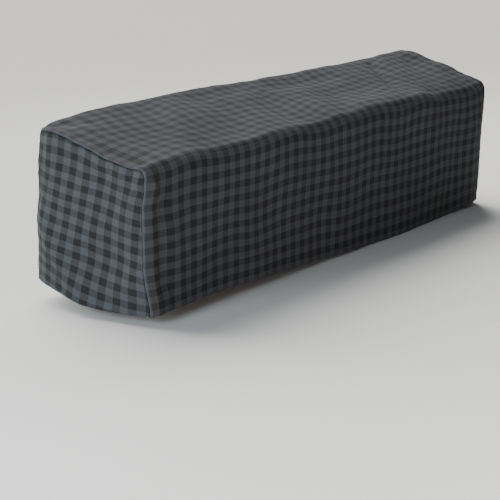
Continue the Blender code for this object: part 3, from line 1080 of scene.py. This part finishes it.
print(f"one stitch: {len(stitch_shape()[0])} points, {len(stitch_shape()[1])} faces")

# %% Hem stitching
STRIP_MARGIN = 0.002      # from the end of the strip's flat part to its stitching
PANEL_MARGIN = 0.006      # from the side of a panel's field to its stitching


def stitching(name, rows):
    """One mesh of several rows of stitches, hung as the cloth is."""
    points = np.concatenate([stitch_row(*row) for row in rows])
    shape, shape_faces = stitch_shape()
    faces = [[corner + first for corner in face]
             for first in range(0, len(points), len(shape)) for face in shape_faces]
    return make_mesh(name, hang(points), faces)


groove = float(welt(np.array(HEM_STITCH_HEIGHT)))
reach, z = FLAT_END - STRIP_MARGIN, HEM_STITCH_HEIGHT
strip_stitching = stitching("strip_hem_stitching", [
    ((-reach, side * y, z), (reach, side * y, z), (0, side * out, 0))
    for y, out in ((DEPTH / 2 + groove, 1), (DEPTH / 2 - HEM_GAP, -1)) for side in (-1, 1)
])
reach = DEPTH / 2 - PANEL_INSET - PANEL_MARGIN
panel_stitching = {
    side: stitching(f"end_panel_{side}_hem_stitching", [
        ((end * x, -reach, z), (end * x, reach, z), (end * out, 0, 0))
        for x, out in ((LENGTH / 2 + groove, 1), (LENGTH / 2 - HEM_GAP, -1))
    ])
    for end, side in ENDS
}

# %% [markdown]
# ## The checked twill
#
# The cloth is a polyester and cotton twill, woven from dyed yarns. Bands of dark and light warp cross bands
# of dark and light weft. Where dark meets dark the cell is darkest, and where light meets light it is
# lightest. Where they cross, the slanting twill lines show both yarns by turns, so the cell is between the
# two. This is the old shepherd's check that gingham shares. A checked cotton could also be printed, but
# yarn-dyed cloth keeps its pattern exactly square to its threads.
#
# The pattern runs on the cloth's own flat places, kept in metres as the UV map. So it bends and stretches
# with every fold, and it meets the seams as cut cloth does. Along the strip's rolled edge beside each end
# seam a thin paler line is painted on as a highlight. In the groove of the seam a near-black line is
# painted on as shade. Both follow an attribute, the distance from the seam.

# %% Colours and nodes
def linear(hex_colour):
    """Linear RGBA from an sRGB hex colour, by the standard's two-part curve."""
    value = np.array([int(hex_colour[i:i + 2], 16) for i in (1, 3, 5)]) / 255
    value = np.where(value <= 0.04045, value / 12.92, ((value + 0.055) / 1.055) ** 2.4)
    return (*value.tolist(), 1.0)


def add_node(material, kind, links=(), **settings):
    """Adds a shader node, sets its properties, fills its numbered inputs, and links sockets into it.

    A setting whose name is in_ and a number fills that input. Each link is an input and what feeds it: a
    socket, or a node for its first output. Inputs are counted from 0 and not named, because a Mix node
    has several of one name: 0 is its factor, 2 and 3 are its two numbers, and 6 and 7 its two colours.
    """
    node = material.node_tree.nodes.new("ShaderNode" + kind)
    for name, value in settings.items():
        if name.startswith("in_"):
            node.inputs[int(name[3:])].default_value = value
        else:
            setattr(node, name, value)
    for place, source in links:
        socket = source.outputs[0] if isinstance(source, bpy.types.Node) else source
        material.node_tree.links.new(socket, node.inputs[place])
    return node


def connect(material, shader, colour, bump):
    """Links a colour and a relief to the shader."""
    material.node_tree.links.new(colour.outputs[0], shader.inputs["Base Color"])
    material.node_tree.links.new(bump.outputs[0], shader.inputs["Normal"])
    return material


def new_material(name, roughness, sheen, specular):
    """A material with its shader's own even values set, the shader, and a function that adds its nodes."""
    material = bpy.data.materials.new(name)
    material.use_nodes = True
    shader = material.node_tree.nodes["Principled BSDF"]
    shader.inputs["Roughness"].default_value = roughness
    shader.inputs["IOR"].default_value = 1.5
    shader.inputs["Specular IOR Level"].default_value = specular
    shader.inputs["Sheen Weight"].default_value = sheen
    shader.inputs["Sheen Roughness"].default_value = 0.55
    return material, shader, functools.partial(add_node, material)


print("mid grey is", np.round(linear("#808080")[:3], 3).tolist(), "in linear light")

# %% Sizes and dyes of the twill
CELL_ACROSS = 0.0170      # one band of warp
CELL_ALONG = 0.0126       # one band of weft, packed a little closer
BAND_BLUR = 0.05          # softness of a band's edges, as a share of the sine wave that makes them
TWILL_PITCH = 0.0024      # drawn about three times coarser than the real twill, so that it shows
TWILL_BLUR = 0.35         # the same for a twill line
YARN_PITCH = 0.0012
SLUB_LENGTH = 0.030
WANDER = 0.0030           # range of the noise, so that a row strays by a millimetre at most
WANDERS_PER_METRE = 22.0
DYE_PATCHES_PER_METRE = 7.0
UNEVEN = (0.86, 1.14)     # least and most of the colour, from slubs and dye
RELIEF_HEIGHT = 0.00025
LINE_SHARE = 0.35         # height of the twill lines against that of the slubs

DARK_YARN = "#252628"
LIGHT_YARN = "#47484b"
# Painted on beside the seams: a paler highlight on the strip's roll and near-black shade in the groove
PAINTED_ROLL_HIGHLIGHT = "#5c5f63"
PAINTED_SEAM_SHADE = "#0d0e10"
# Painted light on copies of one cloth: the strip is painted darker than the panels, which are painted a
# little cooler
STRIP_PAINTED_SHADE = (0.82, 0.83, 0.86)   # red, green and blue, on the yarns' linear colours
PANEL_PAINTED_COOL_LIGHT = (0.96, 1.02, 1.03)
ROLL_HIGHLIGHT_SHARE = 0.40         # how much of the painted highlight shows on the rolled edge
SEAM_SHADE_SHARE = 0.65      # how much of the painted shade shows deep in the seam
ROLL_HIGHLIGHT_BAND = (0.006, 0.008)         # from the seam: the last full and the first clear place
SEAM_SHADE_BAND = (0.0008, 0.0024)
print("cells of", CELL_ACROSS * 1000, "by", CELL_ALONG * 1000, "mm")

# %% Parts of the twill
def bands(add, coordinate, width):
    """Bands of equal width: a sine of twice the width, sharpened to nearly square edges."""
    turn = add("Math", [(0, coordinate)], operation="MULTIPLY", in_1=np.pi / width)
    wave = add("Math", [(0, turn)], operation="SINE")
    return add("MapRange", [(0, wave)], interpolation_type="SMOOTHSTEP", in_1=-BAND_BLUR, in_2=BAND_BLUR)


def yarn_noise(add, vector, along, across):
    """Thick and thin places in the yarns: noise stretched along one direction of the cloth."""
    scaled = add("Mapping", [(0, vector)], vector_type="POINT", in_3=(along, across, 1.0))
    return add("TexNoise", [(0, scaled)], in_2=1.0, in_3=2.0, in_4=0.6)


def paint_beside_seam(add, colour, yarn, band, share):
    """Paints a colour in beside the seam, for the painted highlight and the painted shade: a share that
    falls smoothly to 0 across the band.
    """
    from_seam = add("Attribute", attribute_name="From seam").outputs["Fac"]
    amount = add("MapRange", [(0, from_seam)], interpolation_type="SMOOTHSTEP",
                 in_1=band[0], in_2=band[1], in_3=share, in_4=0.0)
    return add("Mix", [(0, amount), (6, colour)], data_type="RGBA", in_7=linear(yarn)).outputs[2]


print(f"the soft edge of a band is {2 * BAND_BLUR * CELL_ACROSS / np.pi * 1000:.2f} mm wide")

# %% Twill material
def twill(name, shade, roll_highlight_share):
    """Yarn-dyed check twill, matt and with next to no sheen.

    The shade multiplies the yarns' colours, as painted shade on the strip and painted cool light on the
    panels.
    The highlight share is how much of the painted highlight shows on the rolled edge at the seams.
    """
    material, shader, add = new_material(name, roughness=0.86, sheen=0.03, specular=0.08)
    uv = add("UVMap", uv_map="Cloth metres")

    # The weave is never quite straight: a slow wander
    wander = add("TexNoise", [(0, uv)], in_2=WANDERS_PER_METRE, in_3=1.0)
    centred = add("VectorMath", [(0, wander.outputs["Color"])], operation="SUBTRACT", in_1=(0.5, 0.5, 0.5))
    small = add("VectorMath", [(0, centred)], operation="SCALE", in_3=WANDER)
    cloth = add("VectorMath", [(0, uv), (1, small)], operation="ADD")
    across, along, _ = add("SeparateXYZ", [(0, cloth)]).outputs

    # Warp over weft or weft over warp, in slanting lines
    slant = add("Math", [(0, across), (1, along)], operation="ADD")
    turn = add("Math", [(0, slant)], operation="MULTIPLY", in_1=2 * np.pi / TWILL_PITCH)
    wave = add("Math", [(0, turn)], operation="SINE")
    warp_on_top = add("MapRange", [(0, wave)], interpolation_type="SMOOTHSTEP",
                      in_1=-TWILL_BLUR, in_2=TWILL_BLUR)
    dark = add("Mix", [
        (0, warp_on_top),
        (2, bands(add, along, CELL_ALONG)),
        (3, bands(add, across, CELL_ACROSS)),
    ], data_type="FLOAT")
    light_colour, dark_colour = ((*np.multiply(linear(yarn)[:3], shade), 1.0)
                                 for yarn in (LIGHT_YARN, DARK_YARN))
    colour = add("Mix", [(0, dark)], data_type="RGBA", in_6=light_colour, in_7=dark_colour).outputs[2]
    # Painted highlight along the strip's rolled edge, then painted shade deep in the seam's groove
    colour = paint_beside_seam(add, colour, PAINTED_ROLL_HIGHLIGHT, ROLL_HIGHLIGHT_BAND, roll_highlight_share)
    colour = paint_beside_seam(add, colour, PAINTED_SEAM_SHADE, SEAM_SHADE_BAND, SEAM_SHADE_SHARE)

    # Slubs along whichever yarn lies on top, and a slow unevenness of the dye
    slubs = add("Mix", [
        (0, warp_on_top),
        (2, yarn_noise(add, cloth, 1 / SLUB_LENGTH, 1 / YARN_PITCH)),
        (3, yarn_noise(add, cloth, 1 / YARN_PITCH, 1 / SLUB_LENGTH)),
    ], data_type="FLOAT")
    dye = add("TexNoise", [(0, uv)], in_2=DYE_PATCHES_PER_METRE, in_3=3.0, in_4=0.5)
    uneven = add("Math", [(0, slubs), (1, dye.outputs["Fac"])], operation="ADD")
    tone = add("MapRange", [(0, uneven)], in_1=0.6, in_2=1.4, in_3=UNEVEN[0], in_4=UNEVEN[1])
    shaded = add("VectorMath", [(0, colour), (3, tone)], operation="SCALE")

    # Relief: the twill lines with the slubs on them
    relief = add("Math", [(0, wave), (2, slubs)], operation="MULTIPLY_ADD", in_1=LINE_SHARE)
    bump = add("Bump", [(2, relief)], in_0=0.5, in_1=RELIEF_HEIGHT)
    return connect(material, shader, shaded, bump)


# Two copies of one twill: painted darker on the strip, painted lighter and cooler on the panels
strip_twill = twill("Yarn-dyed check twill, strip", STRIP_PAINTED_SHADE, ROLL_HIGHLIGHT_SHARE)
panel_twill = twill("Yarn-dyed check twill, panels", PANEL_PAINTED_COOL_LIGHT, 0.0)
main_strip_cloth.data.materials.append(strip_twill)
for piece in panel_pieces.values():
    piece.data.materials.append(panel_twill)
print("twill:", len(strip_twill.node_tree.nodes), "nodes")

# %% [markdown]
# ## Sewing thread
#
# Hems like this are sewn with spun polyester thread, a shade darker than the cloth. It is matt, with two
# plies that twist round each other, so fine slanting bands run over every stitch.

# %% Thread material
PLY_PITCH = 0.0009


def spun_thread(name, colour):
    """Spun polyester: slanting ply lines in colour and in relief."""
    material, shader, add = new_material(name, roughness=0.75, sheen=0.05, specular=0.15)
    place = add("TexCoord").outputs["Object"]
    plies = add("TexWave", [(0, place)], wave_type="BANDS", bands_direction="DIAGONAL",
                in_1=1 / PLY_PITCH, in_2=0.4)
    ramp = add("MapRange", [(0, plies.outputs["Fac"])], in_3=0.75, in_4=1.15)
    shaded = add("VectorMath", [(3, ramp)], operation="SCALE", in_0=linear(colour)[:3])
    bump = add("Bump", [(2, plies.outputs["Fac"])], in_0=0.4, in_1=0.0001)
    return connect(material, shader, shaded, bump)


thread = spun_thread("Spun polyester thread", "#38393b")
for piece in (strip_stitching, *panel_stitching.values()):
    piece.data.materials.append(thread)
print("thread on", 1 + len(panel_stitching), "rows of stitches")

# %% [markdown]
# ## What stands for what
#
# The three cloth pieces stand for the imported solids, and everything moves with the one body.

for piece in (main_strip_cloth, strip_stitching):
    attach(piece, "root")
for _, side in ENDS:
    for piece in (panel_pieces[side], panel_stitching[side]):
        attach(piece, "root")
    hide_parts(f"end_panel_{side}")
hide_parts("main_strip")

# %% [markdown]
# ## Floor and light
#
# The floor is plain and pale, and so wide that no edge of it shows. The light is that of a product studio.
# A wide main light comes from above and behind, so the top is the brightest face and the front lies in
# soft shade. A large cool lamp at the left lights the left end. A small warm one, low in front, opens up
# the front towards its hem, and a third lifts the right of the top. The floor and a pale sky fill the
# shadows.

# %% Floor
FLOOR_REACH = 200.0       # from the cover, on every side
FLOOR_GAP = 0.0005        # below the lowest point of the hem
FLOOR_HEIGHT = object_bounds()[0][2] - FLOOR_GAP

floor_mesh = bpy.data.meshes.new("floor")
floor_mesh.from_pydata([(x * FLOOR_REACH, y * FLOOR_REACH, FLOOR_HEIGHT)
                        for x, y in ((-1, -1), (1, -1), (1, 1), (-1, 1))], [], [(0, 1, 2, 3)])
floor = add_object("floor", floor_mesh)

paint, paint_shader, add = new_material("Matt white studio floor", roughness=0.9, sheen=0.0, specular=0.2)
place = add("TexCoord").outputs["Object"]
mottle = add("TexNoise", [(0, place)], in_2=1.5, in_3=3.0)
pale = add("Mix", [(0, mottle)], data_type="RGBA", in_6=linear("#dcdcda"), in_7=linear("#e0e0de"))
paint.node_tree.links.new(pale.outputs[2], paint_shader.inputs["Base Color"])
floor_mesh.materials.append(paint)
print("floor at", FLOOR_HEIGHT)

# %% Lights
def hang_light(name, kind, place, aim, power, colour, **settings):
    """A light at a place, turned so that it shines at the aim. Settings are its size or its angle."""
    lamp = bpy.data.lights.new(name, kind)
    lamp.energy = power
    lamp.color = linear(colour)[:3]
    for setting, value in settings.items():
        setattr(lamp, setting, value)
    hung = add_object(name, lamp)
    x, y, z = np.subtract(aim, place)
    hung.location = place
    hung.rotation_euler = (np.arctan2(np.hypot(x, y), -z), 0.0, np.arctan2(y, x) - np.pi / 2)


hang_light("Main light", "SUN", (0.6, 2.5, 2.05), (0.0, 0.0, 0.0), 6.4, "#fffdfa", angle=1.2)
hang_light("Left light", "AREA", (-3.0, -0.3, 0.55), (-0.6, 0.0, -0.15), 78.0, "#e3ecf2", size=1.2)
hang_light("Front light", "AREA", (-0.8, -1.8, -0.12), (-0.5, -0.15, -0.3), 13.0, "#fff4ea", size=0.6)
hang_light("Right light", "AREA", (1.3, 0.8, 1.3), (0.6, 0.0, 0.0), 16.0, "#ffffff", size=0.8)

world = bpy.data.worlds.new("Pale studio")
world.use_nodes = True
background = world.node_tree.nodes["Background"]
background.inputs["Color"].default_value = linear("#e8eef4")
background.inputs["Strength"].default_value = 0.06
bpy.context.scene.world = world
